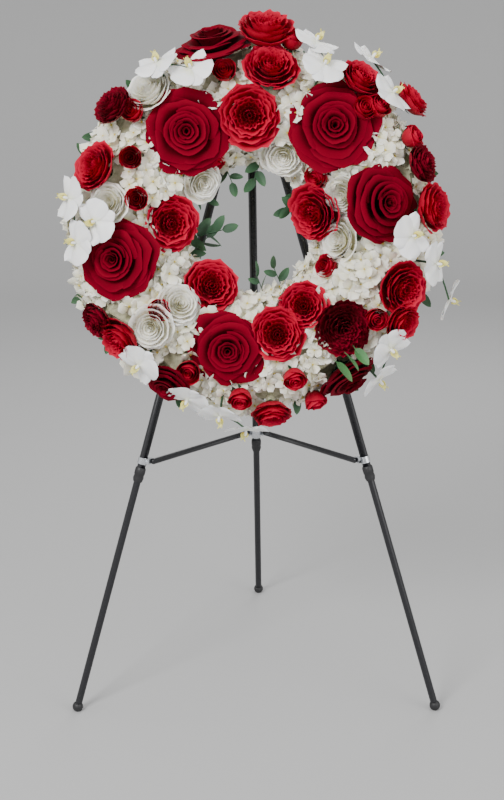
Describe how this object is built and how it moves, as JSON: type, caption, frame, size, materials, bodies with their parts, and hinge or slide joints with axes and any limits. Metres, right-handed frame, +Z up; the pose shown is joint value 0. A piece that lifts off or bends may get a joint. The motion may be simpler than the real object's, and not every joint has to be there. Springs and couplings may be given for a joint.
{
  "type": "funeral wreath on a folding easel",
  "caption": "Round memorial wreath of red and white roses, hydrangea and orchids on a foam ring, hung on a folding telescopic tripod easel.",
  "frame": {"origin": "on the floor, under the middle of the whole object's outline seen from above", "axes": "+Z up; the wreath faces -Y, and its left as seen from the front is -X"},
  "size_m": [0.7804, 0.6382, 1.388],
  "materials": {
    "black_enamel": "satin",
    "black_plastic": "satin",
    "bright_steel": "polished",
    "velvet_petals": "matte",
    "crimson_petals": "matte",
    "maroon_petals": "matte",
    "white_petals": "matte",
    "orchid_petals": "matte",
    "hydrangea_petals": "matte",
    "foam": "matte"
  },
  "bodies": {
    "root": {"easel_head": "black_enamel", "left_hinge_pin": "bright_steel", "right_hinge_pin": "bright_steel", "rear_hinge_pin": "bright_steel", "foam_ring": "foam", "velvet_rose_1": "velvet_petals", "velvet_rose_2": "velvet_petals", "velvet_rose_3": "velvet_petals", "velvet_rose_4": "velvet_petals", "velvet_rose_5": "velvet_petals", "velvet_rose_6": "velvet_petals", "velvet_rose_7": "velvet_petals", "garden_rose_1": "crimson_petals", "garden_rose_2": "crimson_petals", "garden_rose_3": "crimson_petals", "garden_rose_4": "crimson_petals", "garden_rose_5": "crimson_petals", "garden_rose_6": "crimson_petals", "garden_rose_7": "crimson_petals", "garden_rose_8": "crimson_petals", "garden_rose_9": "crimson_petals", "garden_rose_10": "crimson_petals", "garden_rose_11": "crimson_petals", "garden_rose_12": "crimson_petals", "crimson_peony": "maroon_petals", "white_rose_1": "white_petals", "white_rose_2": "white_petals", "white_rose_3": "white_petals", "white_rose_4": "white_petals", "orchid_spray_left": "orchid_petals", "orchid_spray_top": "orchid_petals", "orchid_spray_upper_left": "orchid_petals", "orchid_spray_upper_right": "orchid_petals", "orchid_spray_right": "orchid_petals", "orchid_spray_lower_right": "orchid_petals", "orchid_spray_bottom": "orchid_petals", "orchid_spray_lower_left": "orchid_petals", "hydrangea_bed_top": "hydrangea_petals", "hydrangea_bed_right": "hydrangea_petals", "hydrangea_bed_bottom": "hydrangea_petals", "hydrangea_bed_left": "hydrangea_petals"},
    "left_leg": {"left_upper_tube": "black_enamel", "left_leg_band": "bright_steel"},
    "right_leg": {"right_upper_tube": "black_enamel", "right_leg_band": "bright_steel"},
    "rear_leg": {"rear_upper_tube": "black_enamel"},
    "left_extension": {"left_lower_tube": "black_enamel", "left_foot": "black_plastic"},
    "right_extension": {"right_lower_tube": "black_enamel", "right_foot": "black_plastic"},
    "rear_extension": {"rear_lower_tube": "black_enamel", "rear_foot": "black_plastic"},
    "left_collar": {"left_twist_collar": "black_plastic"},
    "right_collar": {"right_twist_collar": "black_plastic"},
    "rear_collar": {"rear_twist_collar": "black_plastic"},
    "slider": {"spreader_slider": "bright_steel", "left_slider_rivet": "bright_steel", "right_slider_rivet": "bright_steel"},
    "left_bar": {"left_spreader": "black_enamel"},
    "right_bar": {"right_spreader": "black_enamel"}
  },
  "joints": [
    {"name": "rear_leg_fold", "type": "hinge", "parent": "root", "child": "rear_leg", "pos_m": [-0.01111, 0.00417, 1.194], "axis": [-1, 0, 0], "range_deg": [0, 14.39]},
    {"name": "left_leg_fold", "type": "hinge", "parent": "root", "child": "left_leg", "pos_m": [-0.04134, -0.04297, 1.194], "axis": [0.551, -0.8345, 0], "range_deg": [0, 18.87]},
    {"name": "right_leg_fold", "type": "hinge", "parent": "root", "child": "right_leg", "pos_m": [0.01911, -0.04297, 1.194], "axis": [0.551, 0.8345, 0], "range_deg": [0, 18.87]},
    {"name": "left_leg_telescope", "type": "slide", "parent": "left_leg", "child": "left_extension", "axis": [0.2698, 0.1782, 0.9463], "range_m": [0, 0.46]},
    {"name": "left_collar_twist", "type": "hinge", "parent": "left_leg", "child": "left_collar", "pos_m": [-0.24345, -0.17643, 0.48524], "axis": [0.2698, 0.1782, 0.9463], "range_deg": [0, 90]},
    {"name": "right_leg_telescope", "type": "slide", "parent": "right_leg", "child": "right_extension", "axis": [-0.2698, 0.1782, 0.9463], "range_m": [0, 0.46]},
    {"name": "right_collar_twist", "type": "hinge", "parent": "right_leg", "child": "right_collar", "pos_m": [0.22122, -0.17643, 0.48524], "axis": [-0.2698, 0.1782, 0.9463], "range_deg": [0, 90]},
    {"name": "rear_leg_telescope", "type": "slide", "parent": "rear_leg", "child": "rear_extension", "axis": [0, -0.2484, 0.9686], "range_m": [0, 0.38]},
    {"name": "rear_collar_twist", "type": "hinge", "parent": "rear_leg", "child": "rear_collar", "pos_m": [-0.01111, 0.20343, 0.41715], "axis": [0, -0.2484, 0.9686], "range_deg": [0, 90]},
    {"name": "slider_slide", "type": "slide", "parent": "rear_leg", "child": "slider", "axis": [0, -0.2484, 0.9686], "range_m": [0, 0.47122]},
    {"name": "left_spreader_fold", "type": "hinge", "parent": "slider", "child": "left_bar", "pos_m": [-0.02749, 0.19588, 0.44911], "axis": [0.8904, -0.4533, -0.0414], "range_deg": [0, 105.61]},
    {"name": "right_spreader_fold", "type": "hinge", "parent": "slider", "child": "right_bar", "pos_m": [0.00526, 0.19588, 0.44911], "axis": [0.8904, 0.4533, 0.0414], "range_deg": [0, 105.61]}
  ],
  "couplings": [
    {"joint": "left_leg_fold", "follows": "rear_leg_fold", "ratio": 1.3115},
    {"joint": "right_leg_fold", "follows": "rear_leg_fold", "ratio": 1.3115},
    {"joint": "slider_slide", "follows": "rear_leg_fold", "m_per_rad": 1.8766},
    {"joint": "left_spreader_fold", "follows": "rear_leg_fold", "ratio": 7.3412},
    {"joint": "right_spreader_fold", "follows": "rear_leg_fold", "ratio": 7.3412}
  ]
}
